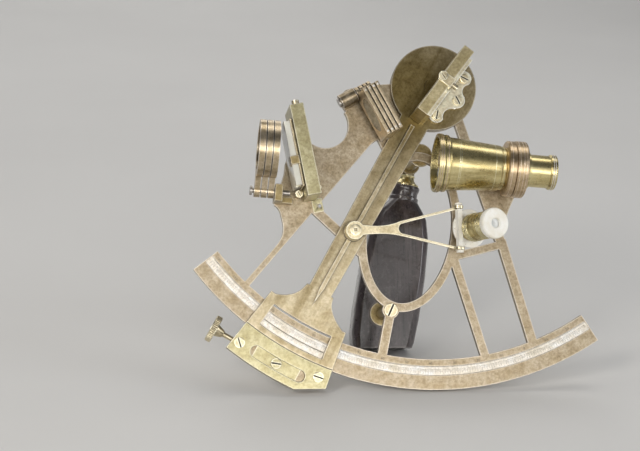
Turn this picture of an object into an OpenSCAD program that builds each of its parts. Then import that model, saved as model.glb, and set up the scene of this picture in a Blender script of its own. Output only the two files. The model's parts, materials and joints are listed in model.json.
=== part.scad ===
// Vernier sextant, standing on its limb and on the lower end of its handle.
// Every sub-part is drawn in the instrument's own plane and then stood up by stand():
// x runs to the right along the plane, y runs up the plane, z comes out of its front face,
// and the origin is the hub, on the frame's front face. Angles are counted from x, as on a compass rose
// turned anticlockwise. Lengths are in millimetres.

/* [Frame] */
// Outer radius of the limb, from the hub
limb_r = 195; // [193:0.5:197]
// Width of the limb
limb_w = 19.5; // [18.5:0.5:20.5]
// Thickness of the frame casting
frame_t = 5; // [4.5:0.25:5.5]
// Angle of the limb's left end
limb_start = 217; // [216:0.5:218]
// Angle of the limb's right end
limb_end = 302.7; // [302:0.1:304]
// Lean of the instrument's plane behind the vertical
lean = 25; // [24:0.5:26]

/* [Index arm] */
// Angle of the arm at rest
arm_angle = 240.2; // [238:0.1:242]
// Radius of the disc at the top of the arm
disc_r = 28; // [27:0.5:28.5]
// Half width of the arm near the disc
arm_wide = 10.4; // [9.5:0.1:11]
// Half width of the arm near the vernier plate
arm_narrow = 8; // [7.5:0.1:8.5]
// Thickness of the arm
arm_t = 3; // [2.5:0.25:3.25]

/* [Mirrors] */
// Direction from the hub to the horizon glass
path_angle = 206.4; // [205:0.2:208]
// Distance from the hub to the horizon glass
path_length = 102; // [100:0.5:103]
// Direction of the telescope's axis
scope_angle = -4.6; // [-5.5:0.1:-4]
// Turn of the arm from rest to its zero reading
zero_turn = 48.3; // [46:0.1:50]
// Height of the light path above the frame's front face
path_height = 25.5; // [25.5:0.5:27]

/* [Telescope] */
// Radius of the objective's rim
rim_r = 18.5; // [17.5:0.25:19]
// Length of the telescope from rim to eye cap
scope_length = 77; // [75:0.5:80]

/* [Magnifier] */
// Distance from the pivot to the tilting axis
fork_length = 66.2; // [64:0.2:68]
// Direction of the fork at rest
fork_angle = 1; // [-1:0.5:2]
// Tilt of the lens tube at rest
tube_tilt = 20; // [16:1:20]

/* [Handle] */
// Distance of the handle's axis behind the frame's front face
handle_depth = 54; // [52:0.5:56]
// Depth of the handle's level lower end below the hub, along the plane
handle_end = 166.6; // [166.4:0.1:166.8]
// Half width of the handle
grip_half = 22; // [20:0.5:23]
// Half thickness of the handle
grip_deep = 14; // [12:0.5:15]

/* [Hidden] */
$fn = 72;

BRASS = "#b3a584";
PALE_BRASS = "#c2b48a";
YELLOW_BRASS = "#c8ae5a";
GREEN_BRASS = "#a9a56e";
COLLAR_BRASS = "#a0785a";
DARK_BRASS = "#6e6038";
SILVER = "#c9c6c0";
STEEL = "#8d8f92";
WHITE = "#e6e3da";
WOOD = "#4a3c40";
GLASS = "#9fb3b8";
SMOKED = "#3c4644";

// Place of the hub in the part's frame, whose origin is under the middle of the whole part
hub_x = -limb_r * (cos(limb_start) + cos(limb_end)) / 2;
hub_y = 22.58;
hub_z = limb_r * cos(lean) + frame_t * sin(lean);

// The frame is symmetrical about this direction, and the handle lies along it
middle_angle = (limb_start + limb_end) / 2;
limb_in = limb_r - limb_w;
eps = 0.01;
fit = 0.05;         // running clearance of a shaft, on the radius
bar_w = 6;          // width of a strut
oval_at = 94.8;     // distance of the oval's centre from the hub
oval_a = 49.5;      // oval's half length, to the middle of its band
oval_b = 30;        // oval's half width, to the middle of its band
band = 5.6;         // width of the oval's band
strip_in = 180;     // silver strip's inner radius
strip_out = 185.8;  // silver strip's outer radius
strip_deep = 0.5;

// Index arm, by height above the frame's front face
arm_z = 1.5;
arm_top = arm_z + arm_t;
rib_h = 2;
rib_end = 160.5;
plate_half = 9.25;  // half angle of the vernier plate
plate_in = 169;
plate_out = 194.3;
window_in = 174.8;
window_out = 190.3;
tongue_t = 1.2;
box_out = 214.8;
box_in = limb_r + 0.9;
magnifier_at = 108.3;

// Clamp and slow motion, in the arm's own directions
tangent_r = 205.5;
tangent_z = -2.6;
nut_y = -2;
nut_half = 4;
pocket_half = 10.5;
slide_half = 15.7;    // half length of the plate that shows in the cover's slot
box_back = -6.5;
slot_turns = [-4.6, 4];
clamp_r = 188.5;
web_z = -10.2;
web_t = 2.5;
shoe_z = -6.3;

// Hub
centre_r = 5;
bush_back = -24;

// Optics
horizon = path_length * [cos(path_angle), sin(path_angle)];
glass_normal = (path_angle - 180 + scope_angle) / 2;
glass_angle = glass_normal + 90;
mirror_angle = glass_angle - zero_turn;
// The telescope's axis passes through the horizon glass; its rim lies at this distance from it
rim_at = 87.9;

// Shades
shade_angle = 28;
shade_t = 2.4;
shade_pitch = 2.9;
shade_first = 38.5;
shade_low = 8;
shade_high = 37;
shade_y = [-15.5, 17.5];
shade_pivot = [18.8, 11.6];
ring_t = 3.8;
ring_pitch = 4.4;
ring_r = 18;
ring_first = 13.7;
ring_pivot = [-25.2, -13.5];
pin_r = 1.6;
pin_length = 25.6;
knuckle_r = 4.1;

// Rising piece of the telescope
collar_at = 51;
stem_half = 4;
socket_back = -28;

// Magnifier heights
fork_z = 12.5;
fork_t = 2.2;
boss_top = 8;
yoke_z = 17.5;
tube_at = 9.2;

// Handle
ferrule_top = 48.5;
grip_top = 60;

// ---------- helpers ----------

// Stands the instrument up in the part's frame
module stand() {
    translate([hub_x, hub_y, hub_z]) rotate([90 - lean, 0, 0]) children();
}

// Points on an arc about a centre
function arc(c, r, a0, a1, n = 12) = [for (i = [0:n]) c + r * [cos(a0 + (a1 - a0) * i / n),
    sin(a0 + (a1 - a0) * i / n)]];

// Points on a smooth bend from a to c that leans towards b
function bend(a, b, c, n = 8) = [for (i = [0:n]) let (t = i / n)
    (1 - t) * (1 - t) * a + 2 * t * (1 - t) * b + t * t * c];

// Part of a ring between two angles
module ring_part(r_in, r_out, a0, a1) {
    intersection() {
        difference() {
            circle(r = r_out, $fn = 180);
            circle(r = r_in, $fn = 180);
        }
        polygon(concat([[0, 0]], arc([0, 0], 2 * r_out, a0, a1, 6)));
    }
}

// Straight bar between two points
module bar(p, q, w) {
    d = q - p;
    translate(p) rotate(atan2(d[1], d[0])) translate([0, -w / 2]) square([norm(d), w]);
}

// Ellipse drawn with its long axis along x
module oval(a, b) {
    polygon([for (i = [0:5:355]) [a * cos(i), b * sin(i)]]);
}

// Flat plate from height z, t thick
module plate(z, t) {
    translate([0, 0, z]) linear_extrude(t) children();
}

// Cylinder from height z0 to z1 at a point in the plane
module post(p, r, z0, z1) {
    translate([p[0], p[1], z0]) cylinder(r = r, h = z1 - z0);
}

// Slotted screw head, from height z
module slotted_head(p, r, z, h, turn = 30) {
    translate([p[0], p[1], z]) difference() {
        cylinder(r = r, h = h);
        rotate([0, 0, turn]) translate([-r - 1, -r / 7, h * 0.5]) cube([2 * r + 2, r / 3.5, h]);
    }
}

// The index arm's own frame: x along the arm
module along_arm() {
    stand() rotate([0, 0, arm_angle]) children();
}

// Slow-motion screw's frame: z along the screw, x outwards from the hub
module along_tangent() {
    along_arm() translate([tangent_r, 0, tangent_z]) rotate([-90, 0, 0]) children();
}

// Frame of the nut that the slow-motion screw drives, in the arm's own directions
module along_nut() {
    along_arm() translate([0, nut_y, 0]) children();
}

// Index mirror's frame: x along the mirror, y out of its reflecting face
module along_mirror() {
    stand() rotate([0, 0, mirror_angle]) children();
}

// Horizon glass's frame: x along the glass, y away from the telescope
module along_glass() {
    stand() translate([horizon[0], horizon[1], 0]) rotate([0, 0, glass_angle]) children();
}

// Telescope's frame: z along its axis from the rim to the eye, x towards the frame
module along_scope() {
    stand() translate([horizon[0], horizon[1], path_height]) rotate([0, 0, scope_angle])
        translate([rim_at, 0, 0]) rotate([0, 90, 0]) children();
}

// Frame of the index shades: x along their pin towards the hub, y across, z out of the frame
module along_shades() {
    stand() rotate([0, 0, shade_angle]) children();
}

// Frame of the horizon shades: x along their pin, y up, z out of the frame, origin on the light path
module along_rings() {
    stand() translate([horizon[0], horizon[1], path_height]) rotate([0, 0, scope_angle]) children();
}

// Magnifier fork's frame: x along the fork from its pivot
module along_fork() {
    stand() rotate([0, 0, arm_angle]) translate([magnifier_at, 0, 0])
        rotate([0, 0, fork_angle - arm_angle]) children();
}

// Lens tube's frame: origin on the tilting axis, z along the tube
module along_tube() {
    along_fork() translate([fork_length, 0, yoke_z]) rotate([0, tube_tilt, 0]) children();
}

// Handle's frame: x along the handle from the hub, y across, z out of the frame
module along_handle() {
    stand() rotate([0, 0, middle_angle]) translate([0, 0, -handle_depth]) children();
}

// ---------- frame and arc ----------

lower_screw = 146.9 * [cos(258.3), sin(258.3)];
upper_post = 43.5 * [cos(middle_angle), sin(middle_angle)];
stem_at = horizon + (rim_at + collar_at) * [cos(scope_angle), sin(scope_angle)];

// Left leg with the horizon glass's pad and the shades' ear
module left_leg() {
    difference() {
        polygon(concat(
            [[-8, -17], [-40.3, -35.8], [-122, -130], [-126, -128], [-121.1, -123]],
            bend([-103, -102.4], [-96.5, -95], [-99, -86]),
            bend([-99.5, -84], [-100.5, -78], [-104, -76.3], 5),
            [[-97.5, -56]],
            bend([-96.8, -50], [-93, -35.5], [-80, -36], 8),
            bend([-57, -15], [-63, -6], [-57, -1], 6),
            [[-46, 2], [-16, 4]]));
        translate([-70.5, -24.2]) circle(r = 15);
    }
}

// Seat for the telescope's rising piece, joined to the right leg
module flare() {
    translate([45, -57]) circle(r = 14);
    polygon(concat([[31.3, -60]],
        bend([31.3, -66], [34.5, -78], [38.5, -92]),
        bend([44.5, -94], [47, -79], [56.5, -65]),
        [[58.5, -60]]));
}

module frame_outline() {
    ring_part(limb_in, limb_r, limb_start, limb_end);
    circle(r = disc_r - 0.3);
    flare();
    bar([16.5, -20], [43.2, -101], bar_w + 0.4);
    bar([43.2, -99], [64, limb_in * sin(291.5) - 8], bar_w + 0.2);
    bar([-36, -28], [-26, -48], bar_w);
    bar([-80.5, -76.5], [-46.5, -108.5], bar_w);
    bar(lower_screw, (limb_in + 4) * [cos(258.3), sin(258.3)], bar_w);
    bar([11, -108], (limb_in + 4) * [cos(280.2), sin(280.2)], bar_w - 0.4);
    bar([12, -109.6], [45, -101.3], bar_w - 0.8);
    translate(lower_screw) circle(r = 5.4);
    rotate(middle_angle) translate([oval_at, 0]) oval(oval_a + band / 2, oval_b + band / 2);
}

// One brass casting: hub disc, legs, oval ring, struts and limb
module frame() {
    color(BRASS) stand() difference() {
        union() {
            plate(-frame_t, frame_t) difference() {
                frame_outline();
                rotate(middle_angle) translate([oval_at, 0]) oval(oval_a - band / 2, oval_b - band / 2);
            }
            plate(-frame_t, frame_t) left_leg();
        }
        plate(-strip_deep, strip_deep + eps) ring_part(strip_in, strip_out, limb_start + 0.3, limb_end - 0.3);
        post([0, 0], 8, -frame_t - 1, 1);
        post(lower_screw, 2, -frame_t - 1, 1);
        translate([stem_at[0], stem_at[1], -frame_t / 2]) rotate([0, 0, scope_angle])
            cube([2 * stem_half + 0.5, 2 * stem_half + 0.5, frame_t + 2], center = true);
    }
}

// Silver strip let into the limb, for the divisions
module silver_arc() {
    color(SILVER) stand() plate(-strip_deep, strip_deep + 0.05)
        ring_part(strip_in, strip_out, limb_start + 0.3, limb_end - 0.3);
}

// Long bearing behind the hub disc
module hub_bush() {
    color(PALE_BRASS) stand() difference() {
        union() {
            post([0, 0], 8, -frame_t, 0.2);
            post([0, 0], 13, -frame_t - 2.5, -frame_t);
            post([0, 0], 10, bush_back, -frame_t - 2.5);
        }
        post([0, 0], centre_r + fit, bush_back - 1, 1);
    }
}

// ---------- index arm ----------

// Outline of the arm below its disc, with the hollowed shoulders above the vernier plate
module arm_outline() {
    polygon(concat([[0, arm_wide], [0, -arm_wide]],
        [[151.5, -arm_narrow], [151.5, -arm_narrow - 1.6]],
        bend([153, -arm_narrow - 1.9], [164.5, -12], [168, -26.6]),
        [[171, -25], [173, 0], [171, 25]],
        bend([168, 26.6], [161.5, 11], [153, arm_narrow + 1.9]),
        [[151.5, arm_narrow + 1.6], [151.5, arm_narrow]]));
}

// Outline shared by the arm's tongue, the box under it and the cover on it; its lower corner is cut off
module box_outline(r_in) {
    intersection() {
        ring_part(r_in, box_out, -plate_half, plate_half);
        rotate(-arm_angle) translate([-200, -193.7]) square([400, 200]);
    }
}

// Curved slot over the sliding nut
module slot_outline() {
    a = slot_turns[0];
    b = slot_turns[1];
    polygon(concat(arc([0, 0], 209.6, a, b), arc(205.8 * [cos(b), sin(b)], 3.8, b + 15, b + 165, 8),
        arc([0, 0], 202, b, a), arc(205.8 * [cos(a), sin(a)], 3.8, a + 195, a + 345, 8)));
}

// Disc, arm, rib, vernier plate and the tongue that carries the slow-motion box
module index_arm() {
    color(PALE_BRASS) along_arm() difference() {
        union() {
            plate(arm_z, tongue_t) difference() {
                union() {
                    circle(r = disc_r, $fn = 120);
                    arm_outline();
                    box_outline(plate_in);
                }
                ring_part(window_in, window_out, -7, 6.6);
                translate([200.8, nut_y - slide_half - 5.3]) square([9.4, 2 * slide_half + 10.6]);
            }
            plate(arm_z + tongue_t, arm_t - tongue_t) difference() {
                union() {
                    circle(r = disc_r, $fn = 120);
                    arm_outline();
                    ring_part(plate_in, plate_out, -plate_half, plate_half);
                }
                ring_part(window_in, window_out, -7, 6.6);
            }
            plate(arm_top, rib_h) polygon([[29, 1.5], [29, -1.5], [150, -1.5], [rib_end, 0], [150, 1.5]]);
            post([magnifier_at, 0], 6.3, arm_top, boss_top);
        }
        post([0, 0], 6, arm_z - 1, arm_top + 1);
        post([magnifier_at, 0], 2, arm_z - 1, fork_z);
    }
}

// Silver strip in the window, which carries the vernier's divisions
module vernier_scale() {
    color(SILVER) along_arm() plate(0.4, 1.6) ring_part(strip_out + 0.2, window_out, -7, 6.6);
}

// Steel centre that the arm turns on
module index_centre() {
    color(STEEL) stand() {
        post([0, 0], 6, arm_z, arm_top);
        post([0, 0], centre_r, bush_back - 1.4, arm_z);
        post([0, 0], 3, bush_back - 7, bush_back - 1.4);
    }
}

// Flanged nut on the back end of the centre
module centre_nut() {
    color(PALE_BRASS) stand() difference() {
        union() {
            post([0, 0], 9, bush_back - 2.6, bush_back - 1.4);
            translate([0, 0, bush_back - 6.4]) cylinder(r = 6.4, h = 3.8, $fn = 6);
        }
        post([0, 0], 3, bush_back - 7, bush_back);
    }
}

// ---------- index mirror ----------

mirror_half = 25.5;
mirror_low = 5.2;
mirror_high = 38;

module index_mirror_glass() {
    color(GLASS) along_mirror() translate([-23.3, -3.2, 7.2]) cube([46.6, 3.2, 28.4]);
}

// Brass tray round the mirror, open on its reflecting side
module index_mirror_cell() {
    color(GREEN_BRASS) along_mirror() difference() {
        translate([-mirror_half, -6.3, mirror_low]) cube([2 * mirror_half, 7.5, mirror_high - mirror_low]);
        translate([-23.3, -3.2, 7.2]) cube([46.6, 3.2 + eps, 28.4]);
        translate([-21.8, -0.1, 8.7]) cube([43.6, 3, 25.4]);
    }
}

mirror_screws = [[16.4, -12.1], [2.2, -17.2], [-13.8, -12.1]];

// Upright wall behind the mirror on a three-lobed base
module index_mirror_bracket() {
    color(PALE_BRASS) along_mirror() {
        translate([-23, -8.9, arm_top]) cube([46, 2.6, 25]);
        plate(arm_top, 2.3) difference() {
            union() {
                for (p = mirror_screws) translate(p) circle(r = 5);
                polygon([[-18, -9], [-14, -16], [-1, -20], [5, -20.5], [17, -16], [21, -9]]);
            }
            translate([11.8, -20.5]) circle(r = 5);
            translate([-9, -21]) circle(r = 6);
        }
    }
}

// Clip over the mirror's edge, with its adjusting screw
module index_mirror_clip() {
    color(PALE_BRASS) along_mirror() {
        translate([-2.6, -7.5, mirror_high]) cube([6.2, 9.5, 1]);
        slotted_head([0.6, 0.4], 3, mirror_high + 1, 1.2, 70);
        translate([-2.6, -7.5, mirror_high - 6]) cube([6.2, 1.2, 6 + eps]);
        translate([0.5, -7.4, mirror_high - 3.2]) rotate([90, 0, 0]) cylinder(r = 1.7, h = 4.2);
    }
}

module index_mirror_screws() {
    color(PALE_BRASS) along_mirror()
        for (p = mirror_screws) slotted_head(p, 3, arm_top + 2.3, 2.2, 60 + 25 * p[0] / 10);
}

// ---------- horizon glass ----------

module horizon_glass() {
    color(GLASS) along_glass() translate([-22.2, 1.7, 6]) cube([40.8, 3.9, 28]);
}

// Thin brass frame behind the glass, with a clip that holds its front edge
module horizon_glass_cell() {
    color(DARK_BRASS) along_glass() {
        difference() {
            translate([-23.4, 0.4, 4.5]) cube([43.2, 1.3, 30.5]);
            translate([-18.5, -1, 10]) cube([33.5, 4, 19.5]);
        }
        translate([-9.2, 0.4, 34]) cube([5.4, 5.9, 1.6]);
        translate([-9.2, 5.6, 24]) cube([5.4, 0.7, 11.6]);
    }
}

// Stout upright frame that carries the horizon glass; the light path runs through its window
module horizon_mirror_frame() {
    color(GREEN_BRASS) along_glass() {
        difference() {
            translate([-30, -8.7, 0]) cube([58, 8.6, 36]);
            translate([-20, -10, 9]) cube([37, 12, 22]);
        }
        difference() {
            translate([-38, -12.4, 0]) cube([9, 6.8, 1.2]);
            post([-34, -10], 1.2, -1, 2);
        }
    }
}

// Screws of the horizon glass: the top one, the round adjusting one and two small ones in the base
module horizon_mirror_screws() {
    color(PALE_BRASS) along_glass() {
        translate([28, -4.4, 31]) rotate([0, 90, 0]) cylinder(r = 2.3, h = 2.8);
        translate([-25.5, 2.6, 0]) {
            cylinder(r = 1.6, h = 13);
            slotted_head([0, 0], 2.4, 13, 1.8, 20);
        }
        post([-22, -12.4], 1.5, 0, 1);
        post([-15, -11.8], 1.5, 0, 1);
    }
}

// ---------- index shades ----------

// Boss on the frame's ear that holds the index shades' pin
module index_shade_bracket() {
    color(BRASS) along_shades() difference() {
        union() {
            translate([-59.9, shade_pivot[0], shade_pivot[1]]) rotate([0, 90, 0])
                cylinder(r = 4.8, h = 11);
            translate([-58.6, shade_pivot[0] - 4.6, 0]) cube([7.9, 8, shade_pivot[1]]);
        }
        translate([-60, shade_pivot[0], shade_pivot[1]]) rotate([0, 90, 0])
            cylinder(r = pin_r, h = 14);
    }
}

// One pin with its head, along x from its head
module shade_pin() {
    rotate([0, 90, 0]) {
        cylinder(r = pin_r, h = pin_length);
        cylinder(r = 3, h = 1.5);
    }
}

// The two identical shade pins
module shade_pins() {
    color(STEEL) {
        along_shades() translate([-61.4, shade_pivot[0], shade_pivot[1]]) shade_pin();
        along_rings() translate([-27.1, ring_pivot[0], ring_pivot[1]]) shade_pin();
    }
}

function shade_x(k) = -shade_first - shade_pitch * (k - 1);
shade_mid = [(shade_y[0] + shade_y[1]) / 2, (shade_low + shade_high) / 2];

// Square frame of one index shade, with its knuckle on the pin
module index_shade(k) {
    color(PALE_BRASS) along_shades() translate([shade_x(k) - shade_t / 2, 0, 0]) difference() {
        union() {
            translate([0, shade_y[0], shade_low])
                cube([shade_t, shade_y[1] - shade_y[0], shade_high - shade_low]);
            translate([0, shade_pivot[0], shade_pivot[1]]) rotate([0, 90, 0])
                cylinder(r = knuckle_r, h = shade_t);
        }
        translate([-1, shade_mid[0], shade_mid[1]]) rotate([0, 90, 0]) cylinder(r = 11.5, h = shade_t + 2);
        translate([-1, shade_pivot[0], shade_pivot[1]]) rotate([0, 90, 0])
            cylinder(r = pin_r + fit, h = shade_t + 2);
    }
}

module index_shade_glass(k) {
    color(SMOKED) along_shades() translate([shade_x(k) - 1, shade_mid[0], shade_mid[1]])
        rotate([0, 90, 0]) cylinder(r = 11.5, h = 2);
}

module index_shade_1() { index_shade(1); }
module index_shade_2() { index_shade(2); }
module index_shade_3() { index_shade(3); }
module index_shade_4() { index_shade(4); }
module index_shade_glass_1() { index_shade_glass(1); }
module index_shade_glass_2() { index_shade_glass(2); }
module index_shade_glass_3() { index_shade_glass(3); }
module index_shade_glass_4() { index_shade_glass(4); }

// ---------- horizon shades ----------

function ring_x(k) = -ring_first - ring_pitch * (k - 1);

// Block beside the horizon glass that holds the horizon shades' pin
module horizon_shade_bracket() {
    color(DARK_BRASS) along_rings() difference() {
        union() {
            translate([-11.3, ring_pivot[0] - 6, -path_height]) cube([5, 11, 17]);
            translate([-11.3, ring_pivot[0] - 6, -path_height]) cube([12.3, 4.2, 8]);
        }
        translate([-12, ring_pivot[0], ring_pivot[1]]) rotate([0, 90, 0]) cylinder(r = pin_r, h = 14);
    }
}

// Round frame of one horizon shade, with its lug and knuckle on the pin
module horizon_shade(k) {
    color(PALE_BRASS) along_rings() translate([ring_x(k) - ring_t / 2, 0, 0]) difference() {
        union() {
            rotate([0, 90, 0]) cylinder(r = ring_r, h = ring_t);
            translate([0, ring_pivot[0], ring_pivot[1]]) rotate([0, 90, 0])
                cylinder(r = knuckle_r, h = ring_t);
            translate([0, ring_pivot[0], ring_pivot[1]]) rotate([atan2(-ring_pivot[1], -ring_pivot[0]), 0, 0])
                translate([0, 0, -3]) cube([ring_t, 12, 6]);
        }
        translate([-1, 0, 0]) rotate([0, 90, 0]) cylinder(r = 14, h = ring_t + 2);
        translate([-1, ring_pivot[0], ring_pivot[1]]) rotate([0, 90, 0])
            cylinder(r = pin_r + fit, h = ring_t + 2);
    }
}

module horizon_shade_glass(k) {
    color(SMOKED) along_rings() translate([ring_x(k) - 1.1, 0, 0]) rotate([0, 90, 0])
        cylinder(r = 14, h = 2.2);
}

module horizon_shade_1() { horizon_shade(1); }
module horizon_shade_2() { horizon_shade(2); }
module horizon_shade_3() { horizon_shade(3); }
module horizon_shade_glass_1() { horizon_shade_glass(1); }
module horizon_shade_glass_2() { horizon_shade_glass(2); }
module horizon_shade_glass_3() { horizon_shade_glass(3); }

// ---------- telescope ----------

neck_r = 13;        // radius of the body's neck in the collar
draw_r = 10.3;      // radius of the draw tube

// Tapered body: rim, taper, groove, neck and end flange, turned in one piece
module telescope_body() {
    color(YELLOW_BRASS) along_scope() rotate_extrude($fn = 96) polygon([
        [rim_r - 2, 0], [rim_r, 0], [rim_r, 3.6], [rim_r - 1, 3.9], [rim_r - 1, 4.4], [rim_r - 0.5, 4.6],
        [rim_r - 0.5, 7], [16.9, 7.6], [14.2, 40.6], [13.7, 41], [13.7, 43.4], [neck_r, 43.8],
        [neck_r, 57.6], [11.5, 57.6], [11.5, 59.8], [draw_r + 0.1, 59.8], [draw_r + 0.1, 44], [12.4, 41],
        [15.3, 8], [15.3, 6.2], [rim_r - 2, 6.2]]);
}

module objective_lens() {
    color(GLASS) along_scope() rotate_extrude($fn = 96) polygon(concat(
        [for (i = [0:6]) [(rim_r - 2) * i / 6, 2.2 + 0.8 * pow(i / 6, 2)]],
        [[rim_r - 2, 6.2], [0, 6.2]]));
}

// Focusing tube with its flange and eye cap
module draw_tube() {
    color(YELLOW_BRASS) along_scope() rotate_extrude($fn = 96) polygon([
        [9.2, 46], [draw_r, 46], [draw_r, 72.6], [10.9, 72.8], [11.2, 73.2], [11.2, 76.4], [10.6, scope_length],
        [4.2, scope_length], [5.2, 75.4], [8, 75.4], [8, 72], [9.2, 71]]);
}

module eye_lens() {
    color(GLASS) along_scope() rotate_extrude($fn = 72) polygon(concat(
        [[0, 72]], [for (i = [0:4]) [8 * i / 4, 75 - 0.5 * pow(i / 4, 2)]], [[8, 72]]));
}

// Collar that the telescope screws into, with the square stem of its rising piece
module telescope_collar() {
    color(COLLAR_BRASS) along_scope() difference() {
        union() {
            rotate_extrude($fn = 96) polygon([[neck_r, 44.4], [17, 44.4], [17.6, 45], [17.6, 49],
                [17.2, 49.4], [17.9, 49.9], [17.9, 56.3], [17.3, 57], [neck_r, 57]]);
            translate([neck_r + 1.5, -stem_half, collar_at - stem_half])
                cube([path_height + 20 - neck_r - 1.5, 2 * stem_half, 2 * stem_half]);
        }
        translate([path_height + 3, 0, collar_at]) rotate([0, 90, 0]) cylinder(r = 2.6, h = 18);
    }
}

// Guide behind the frame that the stem slides in
module rising_socket() {
    color(BRASS) stand() translate([stem_at[0], stem_at[1], 0]) rotate([0, 0, scope_angle]) difference() {
        union() {
            translate([-7.2, -7.2, socket_back]) cube([14.4, 14.4, -frame_t - socket_back]);
            translate([-7.2, -11, -frame_t - 2.4]) cube([14.4, 22, 2.4]);
        }
        translate([-stem_half - 0.25, -stem_half - 0.25, socket_back + 2.2])
            cube([2 * stem_half + 0.5, 2 * stem_half + 0.5, 30]);
        post([0, 0], 2.6, socket_back - 1, 0);
    }
}

// Milled head and screw that raise and lower the telescope
module rising_knob() {
    color(YELLOW_BRASS) stand() translate([stem_at[0], stem_at[1], 0]) {
        post([0, 0], 2.6 - fit, socket_back - 1, -10);
        post([0, 0], 4.4, socket_back - 2, socket_back - 0.3);
        post([0, 0], 8.5, socket_back - 6.6, socket_back - 2);
    }
}

// ---------- reading magnifier ----------

// Friction washer under the magnifier's arm
module magnifier_washer() {
    color(YELLOW_BRASS) along_fork() difference() {
        post([0, 0], 6, boss_top + 0.2, fork_z - 0.2);
        post([0, 0], 2 + fit, boss_top - 1, fork_z + 1);
    }
}

tine_out = 13.2;

// Forked arm, with an eye at the end of each tine
module magnifier_arm() {
    color(PALE_BRASS) along_fork() difference() {
        union() {
            plate(fork_z, fork_t) {
                circle(r = 5.8);
                polygon(concat([[0, 3.6]], bend([6, 3], [20, 1.2], [29, 5.2]), [[30, 5.4]],
                    [[fork_length, tine_out + 0.7], [fork_length, tine_out - 1]], [[30, 3.7]],
                    bend([29, 3.2], [26.6, 0.5], [29, -2.2]), [[30, -2.7]],
                    [[fork_length, -tine_out + 1], [fork_length, -tine_out - 0.7]], [[30, -4.4]],
                    bend([29, -4.2], [20, -1.8], [6, -3]), [[0, -3.6]]));
            }
            for (s = [-1, 1]) translate([fork_length, s * tine_out - 0.9, 0]) {
                translate([0, 0, yoke_z]) rotate([-90, 0, 0]) cylinder(r = 3, h = 1.8);
                translate([-2.2, 0, fork_z]) cube([4.4, 1.8, yoke_z - fork_z]);
            }
        }
        translate([fork_length, -20, yoke_z]) rotate([-90, 0, 0]) cylinder(r = 1 + fit, h = 40);
        post([0, 0], 2 + fit, fork_z - 1, fork_z + 4);
    }
}

// Screw that the magnifier turns on
module magnifier_pivot() {
    color(PALE_BRASS) along_fork() {
        post([0, 0], 2, arm_z + 0.5, fork_z + fork_t + 0.3);
        difference() {
            post([0, 0], 3.6, fork_z + fork_t + 0.3, fork_z + fork_t + 2.4);
            translate([-1.1, -1.1, fork_z + fork_t + 1.4]) cube([2.2, 2.2, 2]);
        }
    }
}

// Cross bar between the tines, with its two pivot screws, which carries the lens tube
module magnifier_yoke() {
    color(WHITE) along_tube() {
        difference() {
            translate([-1.6, -tine_out + 1.4, -1.7]) cube([3.2, 2 * tine_out - 2.8, 3.4]);
            translate([tube_at, 0, -3]) cylinder(r = 7.7, h = 6);
        }
        translate([0, -tine_out - 2.6, 0]) rotate([-90, 0, 0]) cylinder(r = 1, h = 2 * tine_out + 5.2);
        for (s = [-1, 1]) translate([0, s * (tine_out + 1.9) - 0.7, 0]) rotate([-90, 0, 0])
            cylinder(r = 2.3, h = 1.4);
    }
}

// White disc that throws light on the scale
module magnifier_reflector() {
    color(WHITE) along_tube() difference() {
        translate([tube_at, 0, -3.1]) cylinder(r = 12.4, h = 1.2);
        translate([tube_at, 0, -4]) cylinder(r = 7.7, h = 3);
    }
}

// Ribbed brass lens tube
module magnifier_barrel() {
    color(YELLOW_BRASS) along_tube() translate([tube_at, 0, 0]) rotate_extrude() polygon([
        [6.4, -3.4], [7.7, -3.4], [7.7, 1.9], [8.8, 2.1], [8.8, 8], [8.3, 8.5], [8.3, 9.5], [8.8, 10], [8.8, 12],
        [8.3, 12.5], [8.3, 13.5], [8.8, 14], [8.8, 16], [8.3, 16.5], [8.3, 24], [6.4, 24]]);
}

module magnifier_cap() {
    color(WHITE) along_tube() translate([tube_at, 0, 0]) rotate_extrude() polygon([
        [6.4, 24], [8.9, 24], [9.5, 24.6], [9.5, 28.4], [8.9, 29], [3.4, 29], [2.9, 28.2], [2.9, 27.4],
        [6.4, 27.4]]);
}

module magnifier_lens() {
    color(GLASS) along_tube() translate([tube_at, 0, 0]) rotate_extrude() polygon(concat(
        [[0, 24]], [for (i = [0:4]) [6.4 * i / 4, 27.4 - 0.4 * pow(i / 4, 2)]], [[6.4, 24]]));
}

// ---------- clamp and slow motion ----------

// Box under the arm's tongue: the screw runs along it and the nut slides in its pocket
module tangent_box() {
    color(BRASS) difference() {
        along_arm() plate(box_back, arm_z - box_back) box_outline(box_in);
        along_tangent() translate([0, 0, nut_y]) {
            translate([-3.9, -8, -pocket_half]) cube([7.8, 16, 2 * pocket_half]);
            translate([0, 0, -45]) cylinder(r = 1.6 + fit, h = 61);
        }
    }
}

// Cover plate on the tongue, with a curved slot
module tangent_cover() {
    color(GREEN_BRASS) along_arm() plate(arm_z + tongue_t, 1.1) difference() {
        box_outline(plate_out);
        slot_outline();
    }
}

// The two identical slotted screws that hold the cover
module cover_screws() {
    color(PALE_BRASS) along_arm() for (p = [[205.4, -28.6], [200, 25.4]])
        slotted_head(p, 3.3, arm_z + tongue_t + 1.1, 0.9, 75 + p[1]);
}

// Slow-motion screw: shank, thrust collar, cone and milled head
module tangent_screw() {
    color(PALE_BRASS) along_tangent() {
        translate([0, 0, -44]) cylinder(r = 1.6, h = 56);
        translate([0, 0, nut_y - pocket_half + 0.1]) cylinder(r = 2.7, h = 1);
        translate([0, 0, -45]) cylinder(r1 = 4, r2 = 2.2, h = 5);
        translate([0, 0, -49]) cylinder(r = 8.5, h = 4);
    }
}

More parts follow.
